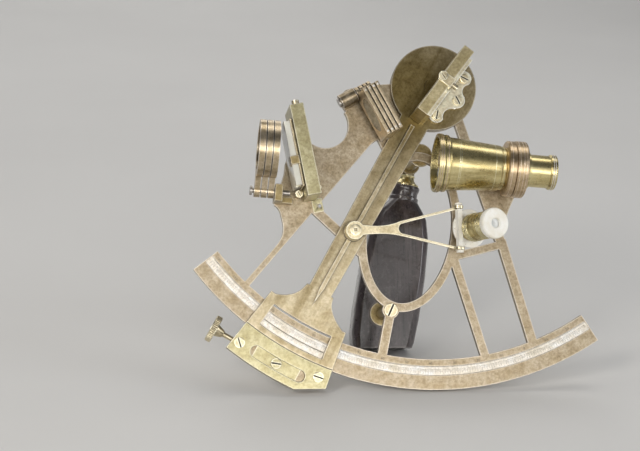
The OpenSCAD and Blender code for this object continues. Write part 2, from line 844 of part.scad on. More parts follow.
// Nut in the box, the plate and screw that show in the slot, and the web that reaches under the limb
module clamp_slide() {
    color(DARK_BRASS) difference() {
        along_nut() {
            translate([tangent_r - 3.6, -nut_half, web_z]) cube([7.2, 2 * nut_half, 1.2 - web_z]);
            post([tangent_r, 0], 3, 1, 2);
            translate([201.1, -slide_half, arm_z + 0.1]) cube([8.8, 2 * slide_half, 1]);
            slotted_head([tangent_r, 0], 3.3, arm_z + 1.1, 1.1, 110);
            translate([181, -6.5, web_z]) cube([tangent_r - 181, 13, web_t]);
        }
        along_tangent() translate([0, 0, -45]) cylinder(r = 1.6 + fit, h = 64);
        along_nut() {
            post([clamp_r, 0], 2 + fit, web_z - 1, web_z + web_t + 1);
            for (d = [-4.3, 4.3]) post([clamp_r + d, 0], 0.9 + fit, web_z - 1, web_z + web_t + 1);
        }
    }
}

// Plate that the clamp screw draws against the back of the limb
module clamp_shoe() {
    color(DARK_BRASS) along_nut() difference() {
        union() {
            translate([clamp_r - 6.2, -5, shoe_z]) cube([12.4, 10, 1.2]);
            for (d = [-4.3, 4.3]) post([clamp_r + d, 0], 0.9, web_z - 0.6, shoe_z + 0.4);
        }
        post([clamp_r, 0], 2 + fit, shoe_z - 1, 0);
    }
}

// Thumb screw behind the limb, with the collar that keeps it in the web
module clamp_screw() {
    color(PALE_BRASS) along_nut() {
        post([clamp_r, 0], 2, web_z - 4, shoe_z + 0.9);
        post([clamp_r, 0], 3, web_z - 2, web_z - 0.2);
        post([clamp_r, 0], 7, web_z - 8.4, web_z - 3.4);
    }
}

// ---------- handle ----------

// Half width and half depth of the grip at distances from the hub
grip_sections = [[68, 9.6, 9.6], [73, 13, 11.4], [79, 16.8, 12.8], [93, 20.2, 13.7],
    [118, grip_half - 0.2, grip_deep], [146, grip_half, grip_deep], [162, grip_half - 0.8, grip_deep],
    [176, grip_half - 4, grip_deep]];

// Quarter of the grip's section: flat front, chamfered edge, flat side
function corner(a, b) = [[b, a - 5.2], [b - 0.5, a - 4.2], [b - 2.4, a - 1.9], [b - 4.2, a - 0.6],
    [b - 6.2, a]];
function back_to_front(list) = [for (i = [len(list) - 1:-1:0]) list[i]];

// Thin slice of the grip
module grip_slice(g) {
    translate([g[0] - 0.05, 0, 0]) rotate([0, 90, 0]) linear_extrude(0.1)
        polygon(let (q = corner(g[1], g[2])) concat(
            q, back_to_front([for (p = q) [-p[0], p[1]]]), [for (p = q) -p],
            back_to_front([for (p = q) [p[0], -p[1]]])));
}

// Wooden handle: turned rings at its top, an oval grip, and a foot planed flat to stand on
module handle_grip() {
    color(WOOD) difference() {
        along_handle() {
            rotate([0, 90, 0]) rotate_extrude() polygon([[0, 57.5], [9.4, 57.5], [9.8, 58.5], [9.4, 60.8],
                [8.9, 61.6], [8.9, 64.6], [9.9, 65.4], [9.9, 67.4], [9.6, 68], [0, 68]]);
            for (i = [0:len(grip_sections) - 2]) hull() {
                grip_slice(grip_sections[i]);
                grip_slice(grip_sections[i + 1]);
            }
        }
        stand() {
            post(lower_screw, 8.2, -41.4, -30);
            translate([-100, -handle_end - 100, -100]) cube([200, 100, 100]);
        }
        translate([-300, -300, -60]) cube([600, 600, 60]);
    }
}

// Brass ferrule at the top of the handle
module handle_ferrule() {
    color(YELLOW_BRASS) along_handle() rotate([0, 90, 0]) rotate_extrude() polygon([
        [0, 50.2], [5.4, 50.2], [4.8, 51.4], [5.4, 53.4], [7.6, 55.6], [8.6, 56.2], [8.6, 57.5], [0, 57.5]]);
}

// Pillar and head that hold the handle's upper end
module handle_upper_bracket() {
    color(DARK_BRASS) stand() difference() {
        union() {
            post(upper_post, 7.5, -7.2, -frame_t);
            post(upper_post, 4.2, -49, -7.2);
            post(upper_post, 6.4, -60.5, -47.5);
            rotate([0, 0, middle_angle]) translate([43.5, 0, -handle_depth]) rotate([0, 90, 0])
                cylinder(r = 4.6, h = 6.7);
        }
        post(upper_post, 2, -61, -48);
    }
}

// Pillar between the frame and the lower part of the grip, with a round foot
module handle_lower_pillar() {
    color(DARK_BRASS) stand() difference() {
        union() {
            post(lower_screw, 4.2, -39, -frame_t);
            post(lower_screw, 8, -41.4, -39);
        }
        post(lower_screw, 2, -18, 0);
    }
}

// The two identical screws that hold the pillars
module handle_screw() {
    slotted_head([0, 0], 4.2, 0, 1.3, 65);
    post([0, 0], 2, -12, eps);
}

module handle_screws() {
    color(PALE_BRASS) stand() {
        translate([lower_screw[0], lower_screw[1], 0]) handle_screw();
        translate([upper_post[0], upper_post[1], -60.5]) rotate([180, 0, 0]) handle_screw();
    }
}

frame();
silver_arc();
hub_bush();
index_arm();
vernier_scale();
index_centre();
centre_nut();
index_mirror_glass();
index_mirror_cell();
index_mirror_bracket();
index_mirror_clip();
index_mirror_screws();
horizon_glass();
horizon_glass_cell();
horizon_mirror_frame();
horizon_mirror_screws();
index_shade_bracket();
shade_pins();
index_shade_1();
index_shade_2();
index_shade_3();
index_shade_4();
index_shade_glass_1();
index_shade_glass_2();
index_shade_glass_3();
index_shade_glass_4();
horizon_shade_bracket();
horizon_shade_1();
horizon_shade_2();
horizon_shade_3();
horizon_shade_glass_1();
horizon_shade_glass_2();
horizon_shade_glass_3();
telescope_body();
objective_lens();
draw_tube();
eye_lens();
telescope_collar();
rising_socket();
rising_knob();
magnifier_washer();
magnifier_arm();
magnifier_pivot();
magnifier_yoke();
magnifier_reflector();
magnifier_barrel();
magnifier_cap();
magnifier_lens();
tangent_box();
tangent_cover();
cover_screws();
tangent_screw();
clamp_slide();
clamp_shoe();
clamp_screw();
handle_grip();
handle_ferrule();
handle_upper_bracket();
handle_lower_pillar();
handle_screws();
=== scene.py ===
"""The sextant's looks: materials, small detail, floor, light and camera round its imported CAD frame."""
import json
import math

import bmesh
import bpy
from mathutils import Euler, Matrix, Vector


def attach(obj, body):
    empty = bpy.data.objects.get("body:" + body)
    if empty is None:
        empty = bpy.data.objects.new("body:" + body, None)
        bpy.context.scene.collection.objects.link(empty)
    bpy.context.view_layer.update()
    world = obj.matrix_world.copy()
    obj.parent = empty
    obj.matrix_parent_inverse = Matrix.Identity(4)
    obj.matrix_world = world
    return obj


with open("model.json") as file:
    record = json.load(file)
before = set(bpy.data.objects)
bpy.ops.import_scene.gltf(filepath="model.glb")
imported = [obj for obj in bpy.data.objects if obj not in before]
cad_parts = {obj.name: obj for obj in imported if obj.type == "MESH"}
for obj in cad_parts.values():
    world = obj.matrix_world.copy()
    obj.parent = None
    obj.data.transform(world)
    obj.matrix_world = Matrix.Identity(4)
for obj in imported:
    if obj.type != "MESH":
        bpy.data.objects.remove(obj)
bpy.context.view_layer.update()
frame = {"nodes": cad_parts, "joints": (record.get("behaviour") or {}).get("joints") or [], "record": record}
NODES = frame["nodes"]

# ---------------------------------------------------------------- the instrument's own frame
# U runs right along the instrument's plane, V up it and W out of its face; the hub is the origin.
# Lengths in it are millimetres, and angles are degrees from U.
MM = 0.001
JOINTS = {j["name"]: j for j in frame["joints"]}
MOUNTS = {m["name"]: m for m in frame["record"]["mounts"]}
HUB = Vector(JOINTS["index_arm_hinge"]["pos_m"])
W = Vector(JOINTS["index_arm_hinge"]["axis"]).normalized()
U = Vector((1, 0, 0))
V = W.cross(U).normalized()

# angles that the part is built on
ARM_ANGLE = 240.2
LIMB_START, LIMB_END = 217.0, 302.7
PATH_ANGLE = 206.4
SCOPE_ANGLE = -4.6
ZERO_TURN = 48.3
SHADE_ANGLE = 28
FORK_ANGLE = 1.0
TUBE_TILT = 20
LOWER_SCREW_ANGLE = 258.3
ZERO_AT = ARM_ANGLE + ZERO_TURN
MIRROR_ANGLE = (PATH_ANGLE - 180 + SCOPE_ANGLE) / 2 + 90 - ZERO_TURN


def polar(angle):
    """Unit direction in the instrument's plane."""
    a = math.radians(angle)
    return U * math.cos(a) + V * math.sin(a)


def basis(origin, x, z):
    """Takes millimetres along x, z cross x and z, from origin, to the row frame."""
    x = x.normalized()
    z = z.normalized()
    y = z.cross(x)
    m = Matrix((x, y, z)).transposed().to_4x4()
    m.translation = origin
    return m @ Matrix.Scale(MM, 4)


def joint_at(name):
    """Point that a joint turns or slides about."""
    return Vector(JOINTS[name]["pos_m"])


TO_ROW = basis(HUB, U, W)
ARM_ROW = basis(HUB, polar(ARM_ANGLE), W)
# the telescope's lengths start a little in front of its objective mount
SCOPE = Vector(JOINTS["focus_slide"]["axis"]).normalized()
RIM_LEAD = 3.5
RIM = Vector(MOUNTS["objective_rim"]["pos_m"]) - SCOPE * RIM_LEAD * MM

# ---------------------------------------------------------------- materials

WHITE, BLACK = (1, 1, 1), (0, 0, 0)
# how far from an edge rubbing and painted highlight reach into a piece, in metres
EDGE_REACH, THIN_REACH, STRIP_REACH, GRIP_REACH = 0.0009, 0.0005, 0.0003, 0.0016
# how far painted shade reaches out from corners and gaps, in metres
CORNER_REACH = 0.0035


def times(colour, k):
    return tuple(c * k for c in colour)


class Nodes:
    """Short names for building a material's node tree."""

    def __init__(self, name):
        self.mat = bpy.data.materials.new(name)
        self.mat.use_nodes = True
        self.tree = self.mat.node_tree
        self.bsdf = self.tree.nodes["Principled BSDF"]
        self.place = self.add("ShaderNodeTexCoord").outputs["Object"]

    def add(self, kind, **values):
        n = self.tree.nodes.new(kind)
        for k, v in values.items():
            setattr(n, k, v)
        return n

    def link(self, a, b):
        self.tree.links.new(a, b)

    def colour(self, source):
        self.link(source, self.bsdf.inputs["Base Color"])

    def roughness(self, source):
        self.link(source, self.bsdf.inputs["Roughness"])

    def set(self, **values):
        for k, v in values.items():
            self.bsdf.inputs[k.replace("_", " ")].default_value = v

    def texture(self, source, scale, detail, rough, distortion=0.0):
        n = self.add("ShaderNodeTexNoise")
        n.inputs["Scale"].default_value = scale
        n.inputs["Detail"].default_value = detail
        n.inputs["Roughness"].default_value = rough
        n.inputs["Distortion"].default_value = distortion
        self.link(source, n.inputs["Vector"])
        return n.outputs["Fac"]

    def noise(self, scale, detail, rough, distortion=0.0):
        return self.texture(self.place, scale, detail, rough, distortion)

    def scratches(self, scale, stretch, turn):
        """Fine lines, from noise squeezed by stretch after a turn."""
        m = self.add("ShaderNodeMapping")
        m.inputs["Scale"].default_value = stretch
        m.inputs["Rotation"].default_value = turn
        self.link(self.place, m.inputs["Vector"])
        return self.texture(m.outputs["Vector"], scale, 3, 0.6)

    def along(self, direction, across, scale, stretch, detail=4.0):
        """Streaks that run along direction, from noise squeezed across it."""
        vec = self.add("ShaderNodeCombineXYZ")
        third = direction.cross(across)
        for k, (d, f) in enumerate(((direction, 1.0 / stretch), (across, 1.0), (third, 1.0))):
            dot = self.add("ShaderNodeVectorMath", operation="DOT_PRODUCT")
            self.link(self.place, dot.inputs[0])
            dot.inputs[1].default_value = d * f
            self.link(dot.outputs["Value"], vec.inputs[k])
        return self.texture(vec.outputs["Vector"], scale, detail, 0.6)

    def ramp(self, fac, stops):
        r = self.add("ShaderNodeValToRGB")
        e = r.color_ramp.elements
        while len(e) < len(stops):
            e.new(0.5)
        for i, (p, c) in enumerate(stops):
            e[i].position = p
            e[i].color = (*c, 1)
        self.link(fac, r.inputs["Fac"])
        return r.outputs["Color"]

    def mix(self, a, b, fac, kind="MIX"):
        m = self.add("ShaderNodeMix", data_type="RGBA", blend_type=kind)
        for sock, v in ((m.inputs[0], fac), (m.inputs[6], a), (m.inputs[7], b)):
            if hasattr(v, "is_output"):
                self.link(v, sock)
            elif isinstance(v, (int, float)):
                sock.default_value = v
            else:
                sock.default_value = (*v, 1)
        return m.outputs[2]

    def grime(self, col, fac, low, high, tone, share):
        """Darkens col to tone where fac is below low, and leaves it where fac is above high."""
        return self.mix(col, self.ramp(fac, [(low, tone), (high, WHITE)]), share, "MULTIPLY")

    def ranged(self, fac, lo, hi, a=0.3, b=0.7):
        """Goes from lo where fac is a to hi where it is b."""
        m = self.add("ShaderNodeMapRange")
        m.inputs["From Min"].default_value = a
        m.inputs["From Max"].default_value = b
        m.inputs["To Min"].default_value = lo
        m.inputs["To Max"].default_value = hi
        self.link(fac, m.inputs["Value"])
        return m.outputs["Result"]

    def bump(self, pairs):
        """Chains bumps from (height, strength, distance in metres)."""
        last = None
        for height, strength, distance in pairs:
            b = self.add("ShaderNodeBump")
            b.inputs["Strength"].default_value = strength
            b.inputs["Distance"].default_value = distance
            self.link(height, b.inputs["Height"])
            if last:
                self.link(last, b.inputs["Normal"])
            last = b.outputs["Normal"]
        self.link(last, self.bsdf.inputs["Normal"])

    def hollow(self, reach, inside=False, own=True):
        """Openness: 1 where no other surface is within reach, outside or inside the piece."""
        g = self.add("ShaderNodeAmbientOcclusion", samples=6, inside=inside, only_local=own)
        g.inputs["Distance"].default_value = reach
        return g.outputs["AO"]

    def wear(self, most, reach=EDGE_REACH):
        """High where the surface turns outwards, as at an edge: for rubbing and painted edge highlight."""
        return self.ranged(self.hollow(reach, True), most, 0.0, 0.5, 0.97)

    def close_to(self, point, near, far):
        """Goes from 1 at near metres from point to 0 at far metres."""
        d = self.add("ShaderNodeVectorMath", operation="DISTANCE")
        self.link(self.place, d.inputs[0])
        d.inputs[1].default_value = point
        return self.ranged(d.outputs["Value"], 1.0, 0.0, near, far)


def brass(name, base, rough, patch, tarnish, relief=1.0, streaks=None, painted_shade_near=None, own=True,
          reach=EDGE_REACH):
    """Old brass: cloudy tarnish, speckle and stains, painted shade in the corners, rubbed edges with painted
    highlights, scratches.

    patch is the clouds' scale, tarnish how dirty and relief how rough it is. streaks go to along(),
    and painted_shade_near, a place darkened as painted shade, to close_to(). own keeps a piece's neighbours
    out of the painted shade in its corners.
    """
    n = Nodes(name)
    dark = tuple(c * k for c, k in zip(base, (0.80, 0.775, 0.71)))
    pale = tuple(min(0.95, c * k + 0.015) for c, k in zip(base, (1.12, 1.14, 1.2)))
    cloud = n.noise(patch, 7, 0.66, 0.3)
    speckle = n.noise(640, 4, 0.7)
    fine = n.noise(270, 5, 0.68)
    stain = n.noise(patch * 2.2, 5, 0.62, 0.8)
    col = n.ramp(cloud, [(0.34, dark), (0.5, base), (0.66, pale)])
    col = n.grime(col, speckle, 0.38, 0.58, (0.56, 0.53, 0.48), 0.2 + 0.8 * tarnish)
    col = n.grime(col, fine, 0.38, 0.58, (0.60, 0.56, 0.49), 0.15 + 0.7 * tarnish)
    if streaks:
        col = n.grime(col, n.along(*streaks), 0.38, 0.56, (0.60, 0.56, 0.46), 0.75)
    # painted shade: darker round a place near the hub, for the dimmer light the flat brass reflects there
    if painted_shade_near:
        col = n.mix(col, (0.40, 0.355, 0.22), n.close_to(*painted_shade_near), "MULTIPLY")
    col = n.mix(col, times(dark, 0.5), n.ranged(stain, 0.0, tarnish, 0.62, 0.74))
    # painted shade: darker in corners, recesses and gaps between parts
    col = n.mix(col, times(dark, 0.16), n.ranged(n.hollow(CORNER_REACH, own=own), 0.75, 0.0, 0.35, 0.92))
    # rubbed edges and painted edge highlight: lighter where the surface turns outwards
    wear_and_highlight = n.wear(0.9, reach)
    if painted_shade_near:
        wear_and_highlight = n.mix(wear_and_highlight, BLACK, n.close_to(HUB, 0.012, 0.014))
    col = n.mix(col, tuple(min(0.97, 0.36 + 0.75 * c) for c in pale), wear_and_highlight)
    n.colour(col)
    n.roughness(n.ranged(n.mix(cloud, fine, 0.5), *rough))
    down = n.scratches(90, (1, 26, 26), (0.3, 0.2, 0.6))
    over = n.scratches(70, (30, 1, 30), (0.1, 0.5, -0.6))
    n.bump([(speckle, 0.14 * relief, 0.0003), (down, 0.15 * relief, 0.0002),
            (over, 0.12 * relief, 0.0002), (fine, 0.16 * relief, 0.0005)])
    n.set(Metallic=1.0)
    return n.mat


def plain_metal(name, base, rough, scale):
    n = Nodes(name)
    cloud = n.noise(scale, 5, 0.6)
    col = n.ramp(cloud, [(0.3, times(base, 0.72)), (0.7, base)])
    # lighter edges: rubbing and painted edge highlight
    n.colour(n.mix(col, tuple(min(1, 0.2 + c) for c in base), n.wear(0.6)))
    n.roughness(n.ranged(cloud, *rough))
    n.bump([(n.noise(1500, 3, 0.6), 0.08, 0.0002)])
    n.set(Metallic=1.0)
    return n.mat


def enamel(name, base, stain):
    n = Nodes(name)
    cloud = n.noise(120, 5, 0.6)
    col = n.ramp(cloud, [(0.35, base), (0.8, stain)])
    chips = n.ranged(n.noise(420, 4, 0.7), 0.0, 1.0, 0.66, 0.7)
    n.colour(n.mix(col, (0.45, 0.36, 0.2), chips))
    n.roughness(n.ranged(cloud, 0.25, 0.45))
    n.bump([(n.noise(900, 3, 0.5), 0.06, 0.0003)])
    return n.mat


def glassy(name, tint, rough=0.03, transmission=1.0):
    n = Nodes(name)
    dust = n.noise(160, 5, 0.6)
    n.colour(n.ramp(dust, [(0.3, tint), (0.75, tuple(min(1, 1.12 * c + 0.02) for c in tint))]))
    n.roughness(n.ranged(dust, rough, rough + 0.12, 0.45, 0.8))
    n.bump([(n.noise(300, 2, 0.5), 0.02, 0.0003)])
    n.set(Transmission_Weight=transmission, IOR=1.5)
    return n.mat


def silvered(name):
    """Mirror glass with spotted silvering."""
    n = Nodes(name)
    dust = n.noise(140, 6, 0.65)
    spots = n.ranged(n.noise(330, 3, 0.6), 0.0, 1.0, 0.66, 0.7)
    col = n.ramp(dust, [(0.3, (0.62, 0.65, 0.64)), (0.7, (0.86, 0.88, 0.88))])
    n.colour(n.mix(col, (0.3, 0.28, 0.22), spots))
    n.roughness(n.ranged(dust, 0.02, 0.12))
    n.bump([(n.noise(260, 2, 0.5), 0.015, 0.0003)])
    n.set(Metallic=1.0)
    return n.mat


def polished_wood(name):
    """Very dark hardwood, long grain down the handle, under old polish."""
    n = Nodes(name)
    grain = n.along(-V, U, 150, 9, 6)
    pores = n.along(-V, U, 520, 16, 3)
    cloud = n.noise(30, 5, 0.6)
    col = n.ramp(grain, [(0.27, (0.030, 0.024, 0.025)), (0.5, (0.068, 0.055, 0.057)),
                         (0.74, (0.140, 0.118, 0.120))])
    col = n.grime(col, cloud, 0.35, 0.66, (0.62, 0.56, 0.56), 0.85)
    col = n.mix(col, (0.008, 0.006, 0.006), n.ranged(pores, 0.0, 0.7, 0.56, 0.66))
    dust = n.ranged(n.noise(420, 5, 0.7), 0.0, 0.30, 0.52, 0.7)
    col = n.mix(col, (0.22, 0.20, 0.195), dust)
    # lighter edges: rubbed polish and painted edge highlight
    n.colour(n.mix(col, (0.34, 0.31, 0.295), n.wear(0.55, GRIP_REACH)))
    n.roughness(n.ranged(cloud, 0.2, 0.42))
    n.bump([(pores, 0.2, 0.0004), (n.noise(60, 4, 0.6), 0.15, 0.001)])
    n.set(Coat_Weight=0.7, Coat_Roughness=0.10, IOR=1.5)
    return n.mat


def ink(name):
    """Wax in engraved lines, and painted shade in the bottoms of screw slots."""
    n = Nodes(name)
    n.colour(n.ramp(n.noise(400, 3, 0.6), [(0.35, (0.02, 0.018, 0.015)), (0.75, (0.09, 0.08, 0.065))]))
    n.bump([(n.noise(1200, 2, 0.5), 0.05, 0.0001)])
    n.set(Roughness=0.6)
    return n.mat


def paper(name):
    n = Nodes(name)
    n.colour(n.ramp(n.noise(3, 3, 0.5), [(0.3, (0.70, 0.695, 0.685)), (0.7, (0.74, 0.735, 0.725))]))
    n.bump([(n.noise(900, 3, 0.5), 0.04, 0.0004)])
    n.set(Roughness=0.75)
    return n.mat


MATS = {
    "frame_brass": brass("frame_brass", (0.48, 0.40, 0.285), (0.30, 0.46), 120, 0.6),
    "pale_brass": brass("pale_brass", (0.76, 0.665, 0.45), (0.26, 0.42), 110, 0.4),
    "yellow_brass": brass("yellow_brass", (0.78, 0.67, 0.35), (0.25, 0.31), 30, 0.05, 0.04,
                          (SCOPE, W, 260, 14), reach=THIN_REACH),
    "green_brass": brass("green_brass", (0.50, 0.455, 0.275), (0.26, 0.42), 90, 0.42),
    "collar_brass": brass("collar_brass", (0.66, 0.505, 0.32), (0.26, 0.40), 90, 0.3, 0.3,
                          reach=THIN_REACH),
    "dark_brass": brass("dark_brass", (0.38, 0.30, 0.15), (0.28, 0.45), 90, 0.45),
    # own=False lets neighbouring shades darken each other's faces as painted shade in the gaps
    "shade_brass": brass("shade_brass", (0.62, 0.51, 0.35), (0.26, 0.38), 120, 0.4, 0.5,
                         own=False, reach=THIN_REACH),
    "silver": brass("silver", (0.90, 0.85, 0.77), (0.38, 0.55), 100, 0.35, reach=STRIP_REACH),
    "steel": plain_metal("steel", (0.45, 0.42, 0.38), (0.25, 0.4), 80),
    "white_paint": enamel("white_paint", (0.94, 0.93, 0.88), (0.78, 0.72, 0.58)),
    "mirror": silvered("mirror"),
    "horizon_mirror": glassy("horizon_mirror", (0.92, 0.90, 0.80), 0.08, 0.2),
    "clear_glass": glassy("clear_glass", (0.93, 0.96, 0.95)),
    "smoked_glass": glassy("smoked_glass", (0.10, 0.125, 0.10)),
    "wood": polished_wood("wood"),
}
# the arm is rubbed along its length, and darker round the hub as painted shade
ARM_BRASS = brass("arm_brass", (0.52, 0.445, 0.30), (0.26, 0.42), 110, 0.4, 1.0,
                  (polar(ARM_ANGLE), polar(ARM_ANGLE + 90), 150, 14),
                  (HUB + polar(200) * 18 * MM, 0.020, 0.068))
# nodes whose material differs from their slot's; the arm's painted shade round the hub and the mirror
# bracket's lighter brass are painted light
OWN_MATERIAL = {
    "index_arm": ARM_BRASS,
    "index_centre": ARM_BRASS,
    # the mirror bracket is painted lighter than its slot's brass: painted light
    "index_mirror_bracket": brass("bright_brass", (0.88, 0.81, 0.62), (0.24, 0.38), 110, 0.3),
    "index_mirror_cell": brass("cell_brass", (0.58, 0.495, 0.29), (0.26, 0.42), 110, 0.4),
    "magnifier_lens": glassy("lens_bloom", (0.74, 0.75, 0.73), 0.05, 0.15),
}
INK_AND_SHADE = ink("engraving_and_slot_shade_black")


def finish_cad_nodes():
    """Every CAD node gets its slot's material, and eased edges: welded, bevelled, shaded by face size."""
    for part in frame["record"]["subparts"]:
        for s in NODES[part["node"]].material_slots:
            s.material = OWN_MATERIAL.get(part["node"], MATS[part["material_slot"]])
    for ob in NODES.values():
        weld = ob.modifiers.new("weld", "WELD")
        weld.merge_threshold = 1e-6
        edges = ob.modifiers.new("edges", "BEVEL")
        edges.width = 0.32 * MM
        edges.segments = 2
        edges.limit_method = "ANGLE"
        edges.angle_limit = math.radians(35)
        edges.use_clamp_overlap = True
        normals = ob.modifiers.new("normals", "WEIGHTED_NORMAL")
        normals.keep_sharp = False


# ---------------------------------------------------------------- mesh helpers


def mesh_object(name, bm, mat, smooth):
    """Puts bm in the scene as an object, and frees it."""
    me = bpy.data.meshes.new(name)
    bm.to_mesh(me)
    bm.free()
    if smooth:
        for p in me.polygons:
            p.use_smooth = True
    me.materials.append(mat)
    ob = bpy.data.objects.new(name, me)
    bpy.context.scene.collection.objects.link(ob)
    return ob


def new_piece(name, bm, mat, body, matrix, smooth=False):
    """A piece drawn in matrix's millimetres, riding on body."""
    bm.transform(matrix)
    bm.normal_update()
    ob = mesh_object(name, bm, mat, smooth)
    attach(ob, body)
    return ob


def hub_turn(angle):
    return Matrix.Rotation(math.radians(angle), 4, "Z")


def box(bm, x0, x1, y0, y1, z0, z1, matrix):
    """Adds a box to bm, placed by matrix."""
    made = bmesh.ops.create_cube(bm, size=1.0)["verts"]
    middle = Matrix.Translation(((x0 + x1) / 2, (y0 + y1) / 2, (z0 + z1) / 2))
    size = Matrix.Diagonal((x1 - x0, y1 - y0, z1 - z0, 1))
    bmesh.ops.transform(bm, verts=made, matrix=matrix @ (middle @ size))


def lathe(bm, profile, steps, place=None, wave=None):
    """Turns a profile of (radius, height) round z; wave(step, radius, height) may change the radius."""
    rings = []
    for r, z in profile:
        ring = []
        for i in range(steps):
            a = 2 * math.pi * i / steps
            rr = wave(i, r, z) if wave else r
            co = Vector((rr * math.cos(a), rr * math.sin(a), z))
            ring.append(bm.verts.new(place @ co if place else co))
        rings.append(ring)
    for p, q in zip(rings, rings[1:]):
        for i in range(steps):
            j = (i + 1) % steps
            bm.faces.new((p[i], p[j], q[j], q[i]))
    return rings


def knurled(name, matrix, r, z0, z1, teeth, deep, slot, body):
    """A milled band round a knob: straight teeth with eased ends."""
    tooth = (0.0, 0.75, 1.0, 0.75)

    def wave(i, rr, z):
        return rr + deep * tooth[i % 4] * (1.0 if z0 + 0.3 < z < z1 - 0.3 else 0.0)

    half = [(-0.35, 0.02), (0.02, 0.12), (0.02, 0.28), (0.05, 0.55)]
    profile = [(r + dr, z0 + dz) for dr, dz in half] + [(r + dr, z1 - dz) for dr, dz in half[::-1]]
    bm = bmesh.new()
    lathe(bm, profile, teeth * len(tooth), wave=wave)
    ob = new_piece(name, bm, MATS[slot], body, matrix)


def rings_on(name, matrix, rows, slot, body):
    """Turned beads: rows of (radius, height, half thickness)."""
    bm = bmesh.new()
    for r, z, t in rows:
        bead = [(r + t * 0.7 * math.cos(a), z + t * math.sin(a)) for a in (-1.2, -0.7, 0.0, 0.7, 1.2)]
        lathe(bm, [(r - 0.2, z - t)] + bead + [(r - 0.2, z + t)], 96)
    ob = new_piece(name, bm, MATS[slot], body, matrix, smooth=True)


def dirt(name, rows, matrix, body):
    """Painted shade: dark boxes in the bottoms of screw slots, from rows of (x, y, z, length, width, turn).
    """
    bm = bmesh.new()
    for x, y, z, length, width, turn in rows:
        place = Matrix.Translation((x, y, z)) @ hub_turn(turn)
        box(bm, -length / 2, length / 2, -width / 2, width / 2, -0.02, 0.06, place)
    new_piece(name, bm, INK_AND_SHADE, body, matrix)


# ---------------------------------------------------------------- small detail

# A sextant's scale reads twice the arm's turn. Its divisions are 10 minutes of arc, so 20 of the reading.
PER_DEGREE = 6
FIRST_DIVISION = -75
LINES_FROM = 181.9
LINES_TO = {"short": 183.6, "degree": 184.6, "five degrees": 185.3}
INNER_LINE = 180.5
LINES_LOW, LINES_HIGH = 0.045, 0.075
NUMBERS_AT, NUMBER_SIZE = 178.3, 2.3


def scale_lines():
    """Divisions on the silver strip, and the two lines that run along it."""
    bm = bmesh.new()
    last = int((ZERO_AT - LIMB_START - 0.8) * PER_DEGREE)
    for k in range(FIRST_DIVISION, last + 1):
        kind = "short" if k % 3 else ("degree" if k % 15 else "five degrees")
        half = 0.035 if k % 3 else 0.055
        box(bm, LINES_FROM, LINES_TO[kind], -half, half, LINES_LOW, LINES_HIGH,
            hub_turn(ZERO_AT - k / PER_DEGREE))
    steps = 170
    a0, a1 = math.radians(LIMB_START + 0.6), math.radians(LIMB_END - 0.6)
    angles = [a0 + (a1 - a0) * i / steps for i in range(steps + 1)]
    for r in (LINES_FROM, INNER_LINE):
        low, high = [[bm.verts.new((rr * math.cos(a), rr * math.sin(a), LINES_HIGH)) for a in angles]
                     for rr in (r - 0.04, r + 0.04)]
        for i in range(steps):
            bm.faces.new((low[i], low[i + 1], high[i + 1], high[i]))
    lines = new_piece("scale_lines", bm, INK_AND_SHADE, "base", TO_ROW)


def scale_numbers():
    """Degree numbers by the strip's lines, every ten degrees of the reading."""
    bm = bmesh.new()
    for value in range(-20, 150, 10):
        curve = bpy.data.curves.new("digits", "FONT")
        curve.body = str(abs(value))
        curve.size = NUMBER_SIZE
        curve.align_x, curve.align_y = "CENTER", "CENTER"
        curve.resolution_u = 2
        ob = bpy.data.objects.new("digits", curve)
        bpy.context.scene.collection.objects.link(ob)
        bpy.context.view_layer.update()
        me = ob.to_mesh()
        me.transform(hub_turn(ZERO_AT - value / 2) @ Matrix.Translation((NUMBERS_AT, 0, 0.03)) @ hub_turn(90))
        bm.from_mesh(me)
        ob.to_mesh_clear()
        bpy.data.objects.remove(ob)
        bpy.data.curves.remove(curve)
    numbers = new_piece("scale_numbers", bm, INK_AND_SHADE, "base", TO_ROW)


def vernier_lines():
    """Vernier divisions, every fifth one longer."""
    first, span, count = 6.1, 12.4, 60
    bm = bmesh.new()
    for i in range(count + 1):
        box(bm, 186.1, 187.3 if i % 5 else 188.3, -0.04, 0.04, 2.0, 2.03, hub_turn(first - i * span / count))
    vernier = new_piece("vernier_lines", bm, INK_AND_SHADE, "arm", ARM_ROW)


def milled_heads():
    screw = basis(joint_at("tangent_screw_turn"), W, Vector(JOINTS["tangent_screw_turn"]["axis"]))
    clamp = basis(joint_at("clamp_screw_turn"), U, W)
    riser = basis(joint_at("rising_knob_turn"), U, W)
    knurled("slow_motion_milling", screw, 8.5, -49, -45, 44, 0.3, "pale_brass", "tangent_screw")
    knurled("clamp_milling", clamp, 7.0, -8.6, -3.6, 38, 0.3, "pale_brass", "clamp_screw")
    knurled("rising_milling", riser, 8.5, -4.6, 0.0, 44, 0.3, "yellow_brass", "rising_knob")


def magnifier_detail():
    """Turned thread and milled cap, in the tilted tube's own frame."""
    fork_x, fork_y = polar(FORK_ANGLE), polar(FORK_ANGLE + 90)
    tilt = math.radians(TUBE_TILT)
    tube_z = (W * math.cos(tilt) + fork_x * math.sin(tilt)).normalized()
    tube_x = fork_y.cross(tube_z)
    tube = basis(joint_at("magnifier_tilt") + tube_x * 9.2 * MM, tube_x, tube_z)
    lower = [(8.8, z, 0.32) for z in (2.7, 3.5, 4.3, 5.1, 5.9, 6.7, 7.5)]
    upper = [(8.3, 17.2 + 0.85 * i, 0.32) for i in range(8)]
    rings_on("magnifier_thread", tube, lower + upper, "yellow_brass", "magnifier_tube")
    knurled("magnifier_cap_milling", tube, 9.5, 24.7, 28.3, 52, 0.16, "white_paint", "magnifier_tube")


